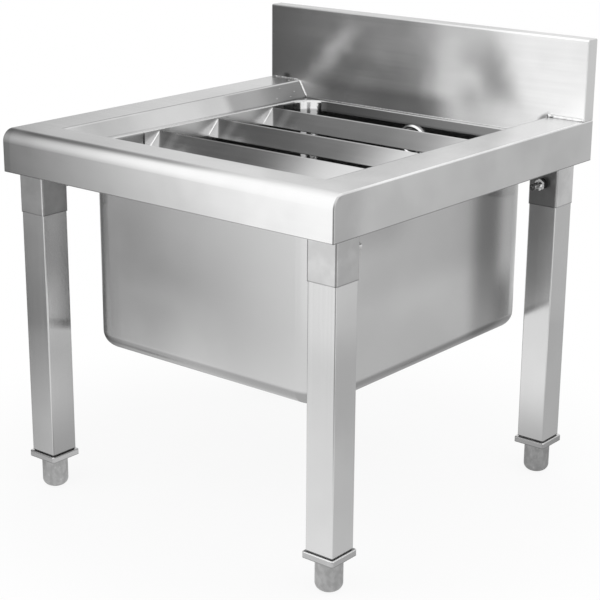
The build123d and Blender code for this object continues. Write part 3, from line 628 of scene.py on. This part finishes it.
# Beads along the splashback's foot, with lumps where the torch stopped: a fine one on the left rim, a coarse
# one on the right rim, one down each slope and one along the ledge
def splash_welds():
    shape = bmesh.new()
    outer_end = half_width - 0.0010

    fine_y = splash_y - 0.0004
    fine_z = rim_z + 0.0004
    bead(shape, (-outer_end, fine_y, fine_z), (-slope_top, fine_y, fine_z), radius=0.0008, pitch=0.0035)
    for x in (-0.2405, -0.2290, -0.2245):
        drop(shape, (x, splash_y - 0.0010, rim_z + 0.0008), radius=0.0012)

    coarse_y = splash_y - 0.0010
    coarse_z = rim_z + 0.0010
    coarse_start = (slope_top + 0.0030, coarse_y, coarse_z)
    bead(shape, coarse_start, (outer_end, coarse_y, coarse_z), radius=0.0021, pitch=0.0100)
    drop(shape, (slope_top + 0.0015, splash_y - 0.0012, rim_z + 0.0018), radius=0.0033, flat=0.85)

    for side in (-1, 1):
        top = (side * (slope_top - 0.0005), fine_y, rim_z - 0.0005)
        bottom = (side * (slope_foot - 0.0002), fine_y, ledge_z + 0.0005)
        bead(shape, top, bottom, radius=0.0011, pitch=0.0030)

    foot_end = slope_foot - 0.0005
    foot_y = splash_y - 0.0002
    foot_z = ledge_z + 0.0002
    bead(shape, (-foot_end, foot_y, foot_z), (foot_end, foot_y, foot_z), radius=0.0006, pitch=0.0050)
    finish_piece(shape, "splash_welds", "sink")


# A bead down both ends of every slat
def slat_welds():
    shape = bmesh.new()
    for name in slat_names:
        low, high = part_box(name)
        for side in (-1, 1):
            edge = side * (high[0] - 0.0004)
            top = (edge, high[1] - 0.0012, high[2] - 0.0006)
            bottom = (edge, low[1] + 0.0004, low[2] + 0.0012)
            bead(shape, top, bottom, radius=0.0010, pitch=0.0030)
    finish_piece(shape, "slat_welds", "sink")


# Small drops on the left slope and rim
def weld_spatter():
    shape = bmesh.new()
    spots = (
        (-0.1966, 0.190, 0.4536), (-0.1895, 0.205, 0.4412), (-0.1892, 0.172, 0.4412),
        (-0.1897, 0.176, 0.4420), (-0.1925, 0.216, 0.4465), (-0.2070, 0.222, 0.4597),
    )
    for spot in spots:
        drop(shape, spot, radius=random.uniform(0.0005, 0.0009))
    finish_piece(shape, "weld_spatter", "sink")


splash_welds()
slat_welds()
weld_spatter()


# Light from a near dome, by its direction in degrees: dimmer at the back, low on the right and on the
# camera's side, with a dark panel on the left
def dome_material():
    degrees = 180 / math.pi
    panel_azimuth = 200.0
    panel_slant = 0.4
    panel_half_width = 33.0
    panel_height = 51.0
    panel_level = 0.12
    material, t = new_material("studio_light")
    x, y, z = t.axes()
    around = t.math("FLOORED_MODULO", t.times(t.math("ARCTAN2", y, x), degrees), 360.0)
    rise = t.times(t.math("ARCSINE", z), degrees)
    back = t.times(t.ramp(around, 20, 40), t.ramp(around, 140, 185, 1.0, 0.0), t.ramp(rise, 45, 65, 1.0, 0.0))
    right = t.times(t.ramp(around, 60, 90, 1.0, 0.0), t.ramp(rise, 0, 30, 1.0, 0.0))
    camera_side = t.times(t.ramp(around, 262, 290), t.ramp(around, 335, 350, 1.0, 0.0),
                          t.ramp(rise, 5, 35, 1.0, 0.0))
    level = t.times(t.ramp(back, 0, 1, 1.28, 0.84, smooth=False), t.ramp(right, 0, 1, 1.0, 0.7, smooth=False),
                    t.ramp(camera_side, 0, 1, 1.0, 0.3, smooth=False))
    panel_middle = t.minus(panel_azimuth, t.times(rise, panel_slant))
    across = t.math("DIVIDE", t.absolute(t.minus(around, panel_middle)), panel_half_width)
    upward = t.math("DIVIDE", t.larger(rise, 0.0), panel_height)
    from_panel = t.math("POWER", t.plus(t.math("POWER", across, 2.5), t.math("POWER", upward, 4.0)), 0.4)
    lit = t.ramp(from_panel, 0.5, 1.5)
    strength = t.plus(t.times(level, lit), t.times(t.less(lit), panel_level))
    close(t, t.node("ShaderNodeEmission", {"Strength": strength}))
    return material


# The camera sees the floor nearly white, with the object's shadow. Reflections see it as light that falls off
# to the left, to the back, toward the camera and around a point on the right.
def floor_material():
    dim_spot = (0.34, -0.10, 0.0)
    material, t = new_material("studio_floor")
    x, y, _ = t.axes()
    leftward = t.ramp(t.minus(t.times(x, 0.97), t.times(y, 0.25)), -0.52, -0.02, 0.25, 1.0)
    backward = t.ramp(y, -0.1, 0.15, 1.0, 0.55)
    toward = t.ramp(t.minus(t.times(x, 0.632), t.times(y, 0.775)), 0.5, 0.85, 1.0, 0.5)
    beside = t.ramp(t.distance(dim_spot), 0.05, 0.28, 0.68, 1.0)
    seen = t.times(leftward, backward, toward, beside)
    rays = t.node("ShaderNodeLightPath").outputs
    diffuse = t.node("ShaderNodeBsdfDiffuse", {"Color": grey(0.9)})
    mirrored = t.node("ShaderNodeEmission", {"Color": grey(1.0), "Strength": seen})
    base = t.node("ShaderNodeMixShader", {0: rays["Is Glossy Ray"], 1: diffuse, 2: mirrored})
    white = t.node("ShaderNodeEmission", {"Color": grey(1.0), "Strength": 1.0})
    whiteness = t.ramp(t.vectors("LENGTH", t.place()), 0.3, 0.6, 0.9, 1.0)
    share = t.times(whiteness, rays["Is Camera Ray"])
    close(t, t.node("ShaderNodeMixShader", {0: share, 1: base, 2: white}))
    return material


def studio():
    dome_radius = 1.0
    dome_height = 0.3
    floor_radius = 0.95
    floor_drop = 0.0005
    shape = bmesh.new()
    bmesh.ops.create_icosphere(shape, subdivisions=5, radius=dome_radius)
    dome = new_object("light_dome", shape, dome_material())
    dome.location = (0, 0, dome_height)
    dome.visible_camera = False
    shape = bmesh.new()
    bmesh.ops.create_circle(shape, cap_ends=True, segments=96, radius=floor_radius)
    floor = new_object("floor", shape, floor_material())
    floor.location = (0, 0, -floor_drop)
    world = bpy.data.worlds.new("studio")
    scene.world = world
    world.use_nodes = True
    t = Tree(world.node_tree)
    background = t.node("ShaderNodeBackground", {"Color": grey(1.0), "Strength": 1.0})
    t.node("ShaderNodeOutputWorld", {"Surface": background})


studio()
